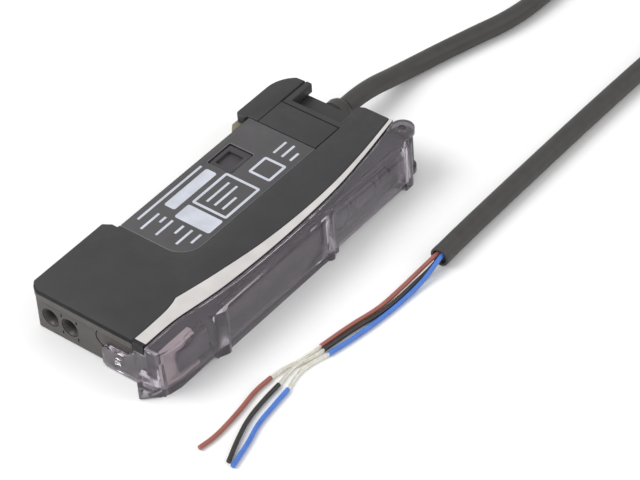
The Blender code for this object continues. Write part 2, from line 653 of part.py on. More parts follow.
def make_key_plate():
    """The dark cover plate of the deck's cable end, with the keys through it."""
    plate = facing("key_plate", rounded(43.2, DECK_LOW + 0.1, 65.9, DECK_HIGH - 0.1, 0.8), DECK_FACE - SEAM,
                   KEY_PLATE_FACE, KEY)
    for tool in key_cutters():
        tool.name = "plate_" + tool.name
        cut(plate, tool)
    cut(plate, facing("indicator_way", rounded(50.75, 3.6, 51.25, 6.4, 0.2), DECK_FACE - 3, DECK_FACE + 2,
                      KEY))


def make_keys():
    for name, x, a, b in KEYS:
        pivot = at(x, KEY_FOOT if a == b else ROCKER_PIVOT, 5.0)
        cap = facing(name, key_outline(x, a, b), KEY_FACE, DECK_FACE + 0.6, KEY, pivot)
        soften(cap, 0.2, 1)
        if a == b:
            stems = [rod(f"{name}_stem", (x, (KEY_FOOT + DECK_FACE) / 2, 5.0), (0, 1, 0),
                         KEY_FOOT - DECK_FACE, 0.9, KEY, sides=16)]
        else:
            stems = [block(f"{name}_web", x - 2.6, x + 2.6, DECK_FACE, ROCKER_PIVOT + 0.3, 4.2, 5.8, KEY)]
            stems += [block(f"{name}_foot_{k}", x + k * 2.0 - 0.5, x + k * 2.0 + 0.5, DECK_FACE, KEY_FOOT,
                            4.4, 5.6, KEY) for k in (-1, 1)]
        for stem in stems:
            use(cap, stem, "UNION")


def make_display():
    """The digits' module in the frame and the smoked window over it."""
    block("display_module", DISPLAY[0] + 1.5, DISPLAY[1] - 1.5, DECK_FACE + GAP, BOARD_FACE - GAP,
          3.3, 6.7, CHIP)
    window = facing("display_window", rounded(DISPLAY[0], DECK_LOW - 0.1, DISPLAY[1], DECK_HIGH + 0.1, 0.6),
                    DISPLAY_FACE, DECK_FACE - GAP / 2, WINDOW)
    soften(window, 0.2, 1)


def make_lever():
    """The dark lever on the fibre end of the deck, with its cam on the pin."""
    x, y = LEVER
    outline = [
        (3.2, -29.2), (3.2, -29.55), (x - 1.0, y - 1.35), *arc(x, y, CAM_LOW, 250, 420, 10),
        *arc(x, y, CAM_HIGH, 85, 140, 4), (x - 2.0, -29.2),
    ]
    lever = flat("lock_lever", outline, 2.6, 7.4, KEY, pivot=at(x, y, 5.0))
    soften(lever, 0.15, 1)
    bore = rod("lever_bore", (x, y, 5.0), (0, 0, 1), 8.0, PIN_R + 0.05, KEY)
    use(lever, bore, "DIFFERENCE")
    rod("lever_pin", (x, y, 5.0), (0, 0, 1), 6.2, PIN_R, STEEL, sides=24)


def make_clamp():
    """The fork that presses the fibres, pushed by the lever's cam."""
    x, _ = LEVER
    outline = [(x - 0.9, CLAMP_FOOT), (x + 0.9, CLAMP_FOOT), (x + 0.9, -11.8), (x - 5.6, -9.95),
               (x - 5.6, -11.4), (x - 0.9, -13.0)]
    flat("fibre_clamp", outline, 3.7, 5.3, LIGHT, pivot=at(x, CLAMP_FOOT, 4.5))


def cover_profiles():
    """The cover's outer and inner outlines along the housing, seen from the label side."""
    skirt = shifted(between(band_foot, -1.0, 66.5), -COVER_GAP)
    ridge_front = [(15.1, COVER_FACE), (14.5, RIDGE_FACE + 0.2), (13.9, RIDGE_FACE),
                   (13.0, RIDGE_FACE + 0.35), (12.2, COVER_FACE + 0.1)]
    ridge_rear = [(44.2, COVER_FACE), (43.6, RIDGE_FACE + 0.3), (43.0, RIDGE_FACE), (42.4, RIDGE_FACE + 0.15),
                  (41.9, COVER_FACE)]
    rear = [(67.6, -25.7), (67.9, -26.5), (67.9, -29.9), *arc(66.4, -29.85, 1.5, -10, -90, 5)]
    front = [(7.0, -31.0), (3.0, -30.6), (0.2, -30.0), (-1.4, -29.1), (-1.6, -28.5), (-1.6, -26.9)]
    outer = skirt + rear + ridge_rear + ridge_front + front
    wall = COVER_WALL
    inner = [
        (-0.1, -20.0), (-0.1, -28.6), (0.5, -29.1), (3.2, -29.7), (7.0, -31.0 + wall),
        (12.0, COVER_FACE + wall), (65.6, COVER_FACE + wall), *arc(65.6, -29.2, 1.2, -90, 0, 4)[1:],
        (66.8, -20.0),
    ]
    return outer, inner


def make_cover():
    """The clear cover: a channel with sloped shoulders, ridges, knuckles, ear and finger tab."""
    outer, inner = cover_profiles()
    pivot = at(*HINGE, THICK / 2)
    cover = flat("protective_cover", outer, 0.0, THICK, SMOKE, pivot)
    tools = []
    for name, low, high in (("far", 0.0, SKIRT), ("label", THICK - SKIRT, THICK)):
        arm = [(60.0, -28.6), *shifted(between(band_foot, 60.0, 67.0), -COVER_GAP),
               *arc(*HINGE, KNUCKLE_R, 100, -90, 20), (66.5, HINGE[1] - KNUCKLE_R)]
        tools.append((flat(f"{name}_knuckle", arm, low, high, SMOKE), "UNION"))
    ear = [(-30.0, 0.3), (-30.0, 7.8), (-23.7, 7.8), (-23.7, 7.0), (-21.3, 4.9), (-17.2, 4.9),
           *arc(-17.2, 3.7, 1.2, 90, 0, 3)[1:], (-16.0, 1.0), (-16.6, 0.3)]
    tools.append((endwise("cover_ear", ear, -1.05, -0.1, SMOKE), "UNION"))
    tab = [(-1.0, -25.2), (TAB_TIP + 1.0, -25.9), (TAB_TIP, -26.6), (-1.9, -28.9), (-0.4, -29.9),
           (-0.4, -25.2)]
    tools.append((flat("finger_tab", tab, 0.3, 4.3, SMOKE), "UNION"))
    tools.append((flat("cover_room", inner, SKIRT, THICK - SKIRT, SMOKE), "DIFFERENCE"))
    tools.append((block("lug_room", 66.0, 73.0, HINGE[1] - LUG_R - 0.35, -20.0, SKIRT, THICK - SKIRT, SMOKE),
                  "DIFFERENCE"))
    tools.append((block("ear_hole", -3.0, 1.0, -20.2, -18.9, 1.8, 3.1, SMOKE), "DIFFERENCE"))
    tools.append((rod("cover_pin_bore", (*HINGE, 5.0), (0, 0, 1), 14.0, PIN_R + 0.05, SMOKE), "DIFFERENCE"))
    depth, width = SHOULDER
    for name, start, end in (("front", -6.0, 11.6), ("rear", 45.0, 64.8)):
        for side, edge, inward in (("far", 0.0, 1), ("label", THICK, -1)):
            wedge = [
                (COVER_FACE - 2.0, edge - inward * 0.5), (COVER_FACE + depth, edge - inward * 0.5),
                (COVER_FACE + depth, edge), (COVER_FACE, edge + inward * width),
                (COVER_FACE - 2.0, edge + inward * width),
            ]
            tools.append((endwise(f"{name}_{side}_shoulder", wedge, start, end, SMOKE), "DIFFERENCE"))
    for tool, operation in tools:
        use(cover, tool, operation)


def make_hinge_pin():
    rod("hinge_pin", (*HINGE, THICK / 2), (0, 0, 1), THICK - 0.2, PIN_R, STEEL, sides=24)


def make_gland():
    """The strain relief: a neck in the housing and a domed boss outside it."""
    y, z = GLAND_AXIS
    start = ANCHOR_X + 0.5
    reach = GLAND_END - start
    turned("cable_gland", [
        (0.0, reach), (2.1, reach), (2.5, reach - 0.4), (2.8, reach - 1.2), (2.8, LENGTH - 0.5 - start),
        (2.2, LENGTH - 0.8 - start), (2.2, 0.0), (0.0, 0.0),
    ], (start, y, z), (1, 0, 0), JACKET)


def make_cable():
    """The lead to the coil, the coil as one ring, its tie, and the tail to the stripped end."""
    laid("cable_lead", LEAD_ROUTE, CABLE_D, JACKET, 2.4 * CABLE_D)
    half_w, half_h = COIL_WIDE / 2, COIL_HIGH / 2
    ring = rounded(COIL_RADIUS - half_w, -half_h, COIL_RADIUS + half_w, half_h, 1.9, 3)
    turned("cable_coil", ring[::-1], (*COIL_CENTRE, COIL_LOW + half_h), (0, 0, 1), JACKET, sides=48)
    laid("cable_tail", TAIL_ROUTE, CABLE_D, JACKET, 2.4 * CABLE_D)
    x, y = COIL_CENTRE
    middle, height_z = x + COIL_RADIUS, COIL_LOW + half_h
    wide, high = half_w + GAP, half_h + GAP
    sizes = ((wide, high, 1.9), (wide + TIE_THICK, high + TIE_THICK, 2.4))
    hole, band = (rounded(middle - w, height_z - h, middle + w, height_z + h, r) for w, h, r in sizes)
    tie = facing("coil_tie", band, y - TIE_WIDE / 2, y + TIE_WIDE / 2, TIE)
    cut(tie, facing("tie_hole", hole, y - TIE_WIDE, y + TIE_WIDE, TIE))


def make_wires():
    looks = {"brown": BROWN, "black": BLACK, "blue": BLUE}
    for name, (insulated, bare, slug) in WIRES.items():
        laid(f"{name}_wire", insulated, WIRE_D, looks[name], 2.5)
        laid(f"{name}_strands", bare, STRAND_D, TINNED, 1.7)
        laid(f"{name}_slug", slug, WIRE_D, looks[name], 2.5)


def make_all():
    make_case()
    make_end_insert()
    make_lid()
    make_film()
    make_window("label_side_window", LID_LOW + 0.1, THICK - 0.25, THICK - 0.9, THICK)
    make_window("far_side_window", 0.25, 2.1, -1.0, 0.9)
    make_latch_housing()
    make_claw()
    make_claw_spring()
    make_fibre_parts()
    make_boards()
    make_panel_frame()
    make_key_plate()
    make_keys()
    make_display()
    make_lever()
    make_clamp()
    make_cover()
    make_hinge_pin()
    make_gland()
    make_cable()
    make_wires()


make_all()
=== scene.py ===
"""Looks of a slim fibre optic sensor amplifier, laid out as a Blender add-on.

The CAD model is loaded as a fixed frame. Each operator makes one piece or a group of like pieces
where the CAD has it, and the panel in the 3D view's sidebar lists them in the order of making.
Places on the object are written in millimetres on the housing, as in the CAD's own source: x runs
to the cable end, y to the rail and z through the thickness. at() turns them into metres.
"""

import json
import math

import bpy
from mathutils import Matrix, Vector


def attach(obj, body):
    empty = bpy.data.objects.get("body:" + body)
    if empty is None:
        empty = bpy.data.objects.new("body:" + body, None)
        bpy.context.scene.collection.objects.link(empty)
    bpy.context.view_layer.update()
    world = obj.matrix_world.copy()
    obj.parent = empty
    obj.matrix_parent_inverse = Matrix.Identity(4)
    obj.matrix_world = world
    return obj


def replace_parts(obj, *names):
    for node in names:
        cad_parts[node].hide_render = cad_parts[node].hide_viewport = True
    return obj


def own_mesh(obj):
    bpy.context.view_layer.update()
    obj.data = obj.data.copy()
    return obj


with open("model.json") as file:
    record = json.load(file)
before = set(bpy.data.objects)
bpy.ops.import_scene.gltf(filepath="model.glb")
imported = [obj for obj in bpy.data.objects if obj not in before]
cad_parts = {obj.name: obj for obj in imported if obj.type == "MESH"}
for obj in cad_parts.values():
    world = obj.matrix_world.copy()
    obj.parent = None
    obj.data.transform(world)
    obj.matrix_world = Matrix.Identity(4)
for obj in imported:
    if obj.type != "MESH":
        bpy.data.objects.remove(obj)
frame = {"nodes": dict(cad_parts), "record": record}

bl_info = {
    "name": "Fibre optic sensor amplifier",
    "version": (1, 0, 0),
    "blender": (4, 5, 0),
    "location": "3D View > Sidebar > Amplifier",
    "description": "Makes the finished pieces, the cable and the stage of a fibre optic sensor amplifier",
    "category": "Object",
}

MM = 0.001
MIDDLE = (34.1, -15.85)  # x and y of the frame's origin on the housing
THICK = 10.0  # thickness of the housing
MERGE = 0.000001  # points of a copied mesh this close are one
PLATE_END, PLATE_FOOT = 62.66, -17.95  # the latch's plate ends at this x and y
LATCH_SEAM = -4.6  # y of the seam between the latch and the lid
FILM_END = 55.3  # x of the label film's end at the latch
FILM_REACH = 0.4  # how much closer to the latch the film's end comes
BAND_START = -0.2  # the light band begins here
LIGHT_RIM = (8.0, -28.2)  # the rim under the cover is light up to this x and y
TAB_X, TAB_Y = -1.8, -25.5  # the tip of the finger tab lies past these
EAR_START = 68.0  # the cover's thick end at the hinge, which lets less light through
LIP_FOOT = 9.25  # the lid's end is dark above this height, and as the case below it
LIP_START = -0.5  # the lid's lip at the fibre end lies before this x
LOOKS_TO_END, LEANS_TO_END = -0.8, -0.3  # normal.x of faces at the fibre end is below these
POCKET_FLOOR = 7.0  # faces of the case above this height that look up lie under the lid
TOP_FACE, BOTTOM_FACE = 9.85, 0.15  # past these heights a face is on a broad side
EASED_REACH = 0.2  # the faces of an eased edge lie this close to it
UPRIGHT = 0.000001  # an upright edge's ends lie this close in plan, in metres
TIE_LOCK = ((204.2, -36.4, 16.25), (206.6, -31.6, 16.68))  # corners of the tie's lock
STEEL = (0.60, 0.60, 0.61)

# Name, place and size of each light, whose power is the stage's setting of that name
LIGHTS = (("key", (-0.45, 0.50, 0.80), 0.7), ("fill", (0.35, -0.75, 0.60), 0.6))

# Camera, from the photograph
CAMERA_PLACE = (-0.2928, -0.27865, 0.3644)
CAMERA_RIGHT = (0.6204, -0.7822, -0.0573)
CAMERA_DOWN = (-0.5512, -0.3828, -0.7414)
CAMERA_AHEAD = (0.558, 0.4915, -0.6686)

# Cable, along the route that the CAD gives it
CABLE_D = 3.7
REST_Z = CABLE_D / 2 + 0.05
LEAD = [
    (72.5, -11.3, 5.0), (76.5, -11.3, 4.9), (81.0, -11.4, 4.3), (86.0, -11.6, 3.1), (91.5, -12.1, 2.1),
    (98.0, -13.7, REST_Z), (106.0, -16.1, REST_Z), (114.0, -18.5, REST_Z), (122.0, -19.5, REST_Z),
    (130.0, -19.3, REST_Z), (138.0, -17.9, REST_Z), (145.0, -15.8, REST_Z), (152.2, -13.25, REST_Z),
    (160.0, -10.56, 2.3),
]
TAIL = [
    (160.0, -57.44, 12.6), (152.2, -54.75, 10.3), (145.0, -52.3, 7.6), (138.0, -50.4, 5.2),
    (130.0, -49.0, 3.1), (122.0, -48.2, 2.1), (115.0, -47.9, REST_Z), (99.0, -47.7, REST_Z),
    (84.0, -47.7, REST_Z), (68.0, -47.8, REST_Z), (60.0, -47.9, REST_Z), (53.0, -48.08, REST_Z),
]
COIL_CENTRE = (176.5, -34.0)
COIL_RADII = (19.5, 22.5)  # the radius at the middle of the turns lies between these
COIL_SPREAD = 6.7  # from the middle of the turns to the innermost and outermost ones
COIL_LAYERS = 4
COIL_TURNS = 13.607
COIL_START = 109.2  # degrees, where the lead meets the outermost turn
COIL_FOOT, COIL_RISE = 2.75, 3.75  # height of the first layer, and between layers
COIL_POINTS = 16  # on each turn

# The stripped end: insulation, bare strands and the slug that was pushed out to their tips
WIRE_D = 0.85
STRAND_D = 0.15
STRANDS = 8
STRAND_TWIST = 1.4  # turns of the strands round each other, from end to end
STRAND_REACH, STRAND_BULGE = 0.17, 0.13  # distance from the middle: at the ends, and more halfway
STRAND_LIFT = 0.2  # the most that a strand rises or sinks
STRAND_PHASE = 2.4  # sets how the bulge differs from strand to strand
WIRES = {
    "brown": (
        [(52.8, -47.7, 2.4), (51.8, -47.6, 2.35), (49.6, -47.3, 1.9), (46.8, -46.9, 1.2),
         (42.6, -46.75, 0.9), (37.3, -46.4, 0.6), (30.6, -45.0, 0.48), (23.8, -44.0, 0.48)],
        [(23.9, -44.0, 0.48), (23.4, -43.9, 0.45), (19.0, -43.2, 0.45), (16.0, -42.2, 0.45),
         (13.3, -41.85, 0.45), (12.7, -41.8, 0.48)],
        [(12.9, -41.8, 0.48), (9.1, -41.7, 0.48), (3.8, -42.4, 0.48), (-0.3, -42.8, 0.48),
         (-3.6, -42.9, 0.48), (-6.9, -42.5, 0.48)],
    ),
    "black": (
        [(52.8, -48.1, 1.5), (51.8, -48.1, 1.45), (49.0, -48.0, 1.0), (45.5, -47.7, 0.55),
         (41.3, -47.7, 0.48), (36.3, -47.3, 0.48), (29.8, -45.95, 0.48), (23.4, -44.95, 0.48)],
        [(23.5, -44.95, 0.48), (23.0, -44.9, 0.45), (20.2, -44.3, 0.45), (17.6, -43.4, 0.45),
         (15.3, -43.4, 0.45), (12.8, -43.85, 0.45), (12.2, -43.95, 0.48)],
        [(12.4, -43.95, 0.48), (8.0, -44.25, 0.48), (3.0, -45.0, 0.48), (-1.4, -46.4, 0.48),
         (-6.5, -48.5, 0.48)],
    ),
    "blue": (
        [(52.8, -48.55, 2.4), (51.8, -48.65, 2.35), (49.5, -48.8, 1.8), (46.5, -48.8, 1.0),
         (41.1, -48.65, 0.5), (35.7, -48.3, 0.48), (30.0, -47.6, 0.48), (23.1, -46.3, 0.48)],
        [(23.2, -46.3, 0.48), (22.7, -46.2, 0.45), (19.5, -45.2, 0.45), (17.0, -44.9, 0.45),
         (14.6, -45.25, 0.45), (12.8, -45.8, 0.45), (12.2, -45.95, 0.48)],
        [(12.4, -45.95, 0.48), (8.1, -46.4, 0.48), (3.0, -47.1, 0.48), (-1.2, -48.35, 0.48),
         (-6.9, -49.75, 0.48)],
    ),
}

# Generic print on the label film: plain boxes and rows of short rules, with no words or marks
PRINT_BOXES = [(28.6, -7.9, 40.4, -5.4), (27.2, -17.0, 31.2, -9.0)]
PRINT_FRAMES = [(31.9, -17.0, 41.6, -9.0), (44.0, -17.0, 49.0, -12.0)]
PRINT_RULES = [
    (21.4, 26.3, -6.3), (24.6, 26.3, -7.9), (21.7, 26.3, -9.5), (23.9, 26.3, -12.0),
    (21.9, 26.3, -14.0), (23.6, 26.3, -16.0), (23.0, 40.4, -4.2), (33.6, 39.8, -11.2),
    (33.6, 39.8, -13.0), (33.6, 37.4, -14.8), (50.6, 54.2, -12.6), (50.6, 54.2, -14.5), (50.6, 53.0, -16.4),
]
RULE_THICK = 0.5
FRAME_WIDE = 0.55


def colour(name, text, value):
    return bpy.props.FloatVectorProperty(
        name=name, description=text, default=value, subtype="COLOR", size=3, min=0.0, max=1.0)


def length(name, text, value):
    return bpy.props.FloatProperty(
        name=name, description=text, default=value, subtype="DISTANCE", unit="LENGTH", min=0.0,
        precision=5)


def share(name, text, value, top=1.0):
    return bpy.props.FloatProperty(
        name=name, description=text, default=value, subtype="FACTOR", min=0.0, max=top)


class AmplifierColours(bpy.types.PropertyGroup):
    housing: colour("Housing", "Colour of the lid and the latch", (0.037, 0.036, 0.038))
    end_face: colour("End face", "Colour of the case", (0.085, 0.078, 0.073))
    band: colour("Light band", "Colour of the frame under the cover", (0.56, 0.54, 0.53))
    film: colour("Label film", "Colour of the film on the label face", (0.072, 0.069, 0.072))
    ink: colour("Print", "Colour of the plain print on the film", (0.52, 0.54, 0.60))
    window: colour("Window", "Colour of the dark windows", (0.028, 0.026, 0.028))
    cover: colour("Cover", "Tint of the clear cover", (0.69, 0.64, 0.70))
    keys: colour("Keys", "Colour of the keys, their plate and the lever", (0.10, 0.10, 0.11))
    claw: colour("Claw", "Colour of the sprung claw", (0.23, 0.20, 0.14))
    jacket: colour("Cable jacket", "Colour of the cable and its strain relief", (0.050, 0.048, 0.045))
    brown: colour("Brown wire", "Colour of the brown insulation", (0.335, 0.110, 0.085))
    black: colour("Black wire", "Colour of the black insulation", (0.040, 0.035, 0.030))
    blue: colour("Blue wire", "Colour of the blue insulation", (0.072, 0.190, 0.590))


class AmplifierSizes(bpy.types.PropertyGroup):
    cable_length: length("Cable length", "Real length of the whole cable", 2.0)
    edge: length("Edge", "Rounding of the crisp edges of moulded pieces", 0.0001)
    grain: length("Grain", "Size of the grain on moulded surfaces", 0.00022)
    strand: length("Strand", "Diameter of one bare strand", STRAND_D * MM)


class AmplifierStage(bpy.types.PropertyGroup):
    floor: colour("Floor", "Colour of the floor", (0.93, 0.93, 0.93))
    lens: bpy.props.FloatProperty(
        name="Lens", description="Focal length of the camera", default=171.82, unit="CAMERA", min=1.0)
    sky: share("Sky", "Brightness of the even light from all sides", 0.66, 5.0)
    key: bpy.props.FloatProperty(
        name="Key light", description="Power of the large light above the rail side", default=7.5,
        subtype="POWER", unit="POWER", min=0.0)
    fill: bpy.props.FloatProperty(
        name="Fill light", description="Power of the light beside the camera", default=2.2,
        subtype="POWER", unit="POWER", min=0.0)


def colours():
    return bpy.context.scene.amplifier_colours


def sizes():
    return bpy.context.scene.amplifier_sizes


def at(x, y, z=0.0):
    """A place in metres, in the CAD's frame, from millimetres on the housing."""
    return Vector((x - MIDDLE[0], y - MIDDLE[1], z)) * MM


def smooth(points, steps):
    """Points along a Catmull-Rom curve through the given ones."""
    places = [Vector(p) for p in points]
    places = [2 * places[0] - places[1], *places, 2 * places[-1] - places[-2]]
    found = []
    for a, b, c, d in zip(places, places[1:], places[2:], places[3:]):
        for k in range(steps):
            t = k / steps
            found.append(0.5 * (2 * b + (c - a) * t + (2 * a - 5 * b + 4 * c - d) * t * t
                                + (3 * b - a - 3 * c + d) * t ** 3))
    return [*found, places[-2]]


def run(points):
    """Length of the straight lines between points."""
    return sum((b - a).length for a, b in zip(points, points[1:]))


# Materials


class Look:
    """A material under construction: a Principled shader whose inputs come from fine noises."""

    def __init__(self, name, roughness, metallic=0.0):
        self.material = bpy.data.materials.new(name)
        self.material.use_nodes = True
        self.tree = self.material.node_tree
        self.shader = self.tree.nodes["Principled BSDF"]
        self.shader.inputs["Roughness"].default_value = roughness
        self.shader.inputs["Metallic"].default_value = metallic
        self.shader.inputs["Specular IOR Level"].default_value = 0.38
        self.place = self.tree.nodes.new("ShaderNodeTexCoord").outputs["Object"]

    def node(self, kind, **inputs):
        made = self.tree.nodes.new(kind)
        for name, value in inputs.items():
            made.inputs[name.replace("_", " ")].default_value = value
        return made

    def link(self, output, node, name):
        self.tree.links.new(output, node.inputs[name])

    def noise(self, size, detail):
        """A noise whose grains are about this many metres across."""
        made = self.node("ShaderNodeTexNoise", Scale=1.0 / size, Detail=detail)
        self.link(self.place, made, "Vector")
        return made.outputs["Fac"]

    def mottled(self, value, amount, size):
        """The base colour, a little lighter and darker from place to place."""
        ramp = self.tree.nodes.new("ShaderNodeValToRGB")
        ramp.color_ramp.elements[0].position = 0.3
        ramp.color_ramp.elements[1].position = 0.7
        for element, change in zip(ramp.color_ramp.elements, (1 - amount, 1 + amount)):
            element.color = (*(min(1.0, c * change) for c in value), 1.0)
        self.link(self.noise(size, 4.0), ramp, "Fac")
        self.link(ramp.outputs["Color"], self.shader, "Base Color")

    def gloss(self, low, high, size):
        """Roughness that wanders between two values."""
        spread = self.tree.nodes.new("ShaderNodeMapRange")
        spread.inputs["From Min"].default_value = 0.3
        spread.inputs["From Max"].default_value = 0.7
        spread.inputs["To Min"].default_value = low
        spread.inputs["To Max"].default_value = high
        self.link(self.noise(size, 3.0), spread, "Value")
        self.link(spread.outputs["Result"], self.shader, "Roughness")

    def relief(self, size, depth):
        """Fine bumps of this depth in metres."""
        bump = self.node("ShaderNodeBump", Strength=1.0, Distance=depth)
        self.link(self.noise(size, 2.0), bump, "Height")
        self.link(bump.outputs["Normal"], self.shader, "Normal")


def moulded(name, value, roughness, depth=0.000006, grain=None):
    """Moulded plastic with the fine grain of an eroded tool."""
    look = Look(name, roughness)
    look.mottled(value, 0.07, 0.004)
    look.gloss(roughness - 0.06, roughness + 0.07, 0.0016)
    look.relief(grain or sizes().grain, depth)
    return look.material


def glossy(name, value, roughness):
    """Smooth plastic with faint ripples."""
    look = Look(name, roughness)
    look.mottled(value, 0.10, 0.003)
    look.gloss(roughness, roughness + 0.08, 0.0012)
    look.relief(0.0018, 0.000004)
    return look.material


def clear(name, value, through=0.95):
    """Clear smoky plastic with faint ripples."""
    look = Look(name, 0.05)
    look.mottled(value, 0.03, 0.006)
    look.gloss(0.04, 0.09, 0.003)
    look.relief(0.0035, 0.000005)
    look.shader.inputs["Transmission Weight"].default_value = through
    look.shader.inputs["IOR"].default_value = 1.28
    look.shader.inputs["Coat Weight"].default_value = 0.25
    look.shader.inputs["Coat Roughness"].default_value = 0.06
    return look.material


def jacket(name, value, roughness):
    """Cable sheath and insulation with a fine grain and a dull skin."""
    look = Look(name, roughness)
    look.mottled(value, 0.12, 0.0022)
    look.gloss(roughness - 0.05, roughness + 0.08, 0.0011)
    look.relief(0.00045, 0.000009)
    return look.material


def metal(name, value, roughness, metallic=0.95):
    """Drawn or plated metal with a very fine grain."""
    look = Look(name, roughness, metallic)
    look.mottled(value, 0.12, 0.0006)
    look.gloss(roughness - 0.08, roughness + 0.10, 0.0004)
    look.relief(0.00012, 0.000003)
    return look.material


def board(name):
    """Green solder mask with lighter tracks under it."""
    look = Look(name, 0.38)
    bricks = look.node("ShaderNodeTexBrick", Scale=420.0, Mortar_Size=0.09)
    bricks.inputs["Color1"].default_value = (0.012, 0.085, 0.045, 1.0)
    bricks.inputs["Color2"].default_value = (0.016, 0.100, 0.055, 1.0)
    bricks.inputs["Mortar"].default_value = (0.045, 0.190, 0.090, 1.0)
    look.link(look.place, bricks, "Vector")
    look.link(bricks.outputs["Color"], look.shader, "Base Color")
    look.gloss(0.30, 0.45, 0.002)
    look.relief(0.0004, 0.000004)
    return look.material


# Meshes


def rest():
    if bpy.context.mode != "OBJECT":
        bpy.ops.object.mode_set(mode="OBJECT")
    bpy.ops.object.select_all(action="DESELECT")


def pick(piece):
    rest()
    piece.select_set(True)
    bpy.context.view_layer.objects.active = piece


def shown(piece):
    bpy.context.scene.collection.objects.link(piece)
    return piece


def copied(name, node):
    """A merged copy of a CAD node's mesh, with its flat faces whole again."""
    piece = shown(bpy.data.objects.new(name, frame["nodes"][node].data.copy()))
    piece.data.name = name
    piece.data.materials.clear()
    pick(piece)
    bpy.ops.mesh.customdata_custom_splitnormals_clear()
    bpy.ops.object.mode_set(mode="EDIT")
    bpy.ops.mesh.select_all(action="SELECT")
    bpy.ops.mesh.remove_doubles(threshold=MERGE)
    bpy.ops.mesh.normals_make_consistent(inside=False)
    bpy.ops.mesh.dissolve_limited(angle_limit=math.radians(0.3))
    bpy.ops.object.mode_set(mode="OBJECT")
    return piece


def eased(piece, width, segments=2, angle=35):
    """Rounds the edges sharper than an angle in degrees."""
    bevel = piece.modifiers.new("eased", "BEVEL")
    bevel.width = width
    bevel.segments = segments
    bevel.limit_method = "ANGLE"
    bevel.angle_limit = math.radians(angle)
    pick(piece)
    bpy.ops.object.modifier_apply(modifier=bevel.name)


def settled(piece, look, slot, body, *nodes, angle=35):
    """Gives a finished mesh its material, shading, body and the CAD nodes it stands for."""
    piece.data.materials.clear()
    piece.data.materials.append(look)
    pick(piece)
    bpy.ops.object.shade_smooth_by_angle(angle=math.radians(angle))
    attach(piece, body)
    if nodes:
        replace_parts(piece, *nodes)
    return piece


def refined(node, look, slot, body, width=None, segments=2, angle=35):
    """A CAD node's shape with eased edges and a finished surface."""
    piece = copied(f"{node}_finished", node)
    if width:
        eased(piece, width, segments, angle)
    return settled(piece, look, slot, body, node, angle=angle)


def spot(face):
    """The middle of a face in millimetres on the housing."""
    x, y, z = face.center / MM
    return x + MIDDLE[0], y + MIDDLE[1], z


def split(piece, place, normal):
    """Cuts the faces along a plane and keeps both sides."""
    pick(piece)
    bpy.ops.object.mode_set(mode="EDIT")
    bpy.ops.mesh.select_all(action="SELECT")
    bpy.ops.mesh.bisect(plane_co=place, plane_no=normal)
    bpy.ops.object.mode_set(mode="OBJECT")


def unmarked(piece, kind):
    """Clears the selection in a mesh, whose vertices or edges are then chosen one by one."""
    pick(piece)
    bpy.ops.object.mode_set(mode="EDIT")
    bpy.ops.mesh.select_all(action="DESELECT")
    bpy.ops.mesh.select_mode(type=kind)
    bpy.ops.object.mode_set(mode="OBJECT")


def round_upright(piece, width, segments, chosen):
    """Rounds the upright edges whose two ends pass a test."""
    unmarked(piece, "EDGE")
    for edge in piece.data.edges:
        a, b = (piece.data.vertices[v].co for v in edge.vertices)
        edge.select = (a - b).xy.length < UPRIGHT and chosen(a, b)
    bpy.ops.object.mode_set(mode="EDIT")
    bpy.ops.mesh.bevel(offset=width, segments=segments, affect="EDGES")
    bpy.ops.object.mode_set(mode="OBJECT")


def repainted(piece, look, chosen):
    """Gives the faces that pass a test another material."""
    piece.data.materials.append(look)
    for face in piece.data.polygons:
        if chosen(face):
            face.material_index = len(piece.data.materials) - 1


def applied(piece):
    """Puts a piece's placement into its mesh, so that the object sits at the origin."""
    pick(piece)
    bpy.ops.object.transform_apply(location=True, rotation=True, scale=True)
    return piece


def box(name, low, high):
    """A box between two corners on the housing."""
    rest()
    bpy.ops.mesh.primitive_cube_add(size=1)
    piece = bpy.context.object
    piece.name = piece.data.name = name
    piece.location = (at(*low) + at(*high)) / 2
    piece.scale = (Vector(high) - Vector(low)) * MM
    return applied(piece)


def joined(name, pieces):
    rest()
    for piece in pieces:
        piece.select_set(True)
    bpy.context.view_layer.objects.active = pieces[0]
    bpy.ops.object.join()
    pieces[0].name = pieces[0].data.name = name
    return pieces[0]


def line(name, places, diameter, look, round_steps=4, steps=6):
    """A round wire or cable as a Bezier curve through places in metres."""
    curve = bpy.data.curves.new(name, "CURVE")
    curve.dimensions = "3D"
    curve.bevel_depth = diameter / 2
    curve.bevel_resolution = round_steps
    curve.resolution_u = steps
    curve.use_fill_caps = True
    add_spline(curve, places)
    curve.materials.append(look)
    return shown(bpy.data.objects.new(name, curve))


def add_spline(curve, places):
    spline = curve.splines.new("BEZIER")
    spline.bezier_points.add(len(places) - 1)
    for point, place in zip(spline.bezier_points, places):
        point.co = place
        point.handle_left_type = point.handle_right_type = "AUTO"


# The cable's coil


def coil_height(layer):
    """Height of the turns when this many layers are wound, with a quarter turn's climb at each change."""
    climb = 0.125 * COIL_LAYERS / COIL_TURNS
    risen = 0.0
    for change in range(1, COIL_LAYERS):
        t = min(1.0, max(0.0, (layer - change + climb) / (2 * climb)))
        risen += t * t * (3 - 2 * t)
    return COIL_FOOT + COIL_RISE * risen


def coil(radius):
    """Places on the turns, wound in and out in flat layers, from the lead's side to the tail's."""
    count = round(COIL_TURNS * COIL_POINTS)
    places = []
    for k in range(count + 1):
        layer = COIL_LAYERS * k / count
        part = layer - min(int(layer), COIL_LAYERS - 1)
        inward = min(int(layer), COIL_LAYERS - 1) % 2 == 0
        reach = radius + COIL_SPREAD * (1 - 2 * part if inward else 2 * part - 1)
        turn = math.radians(COIL_START - 360 * COIL_TURNS * k / count)
        places.append((COIL_CENTRE[0] + reach * math.cos(turn), COIL_CENTRE[1] + reach * math.sin(turn),
                       coil_height(layer)))
    return places


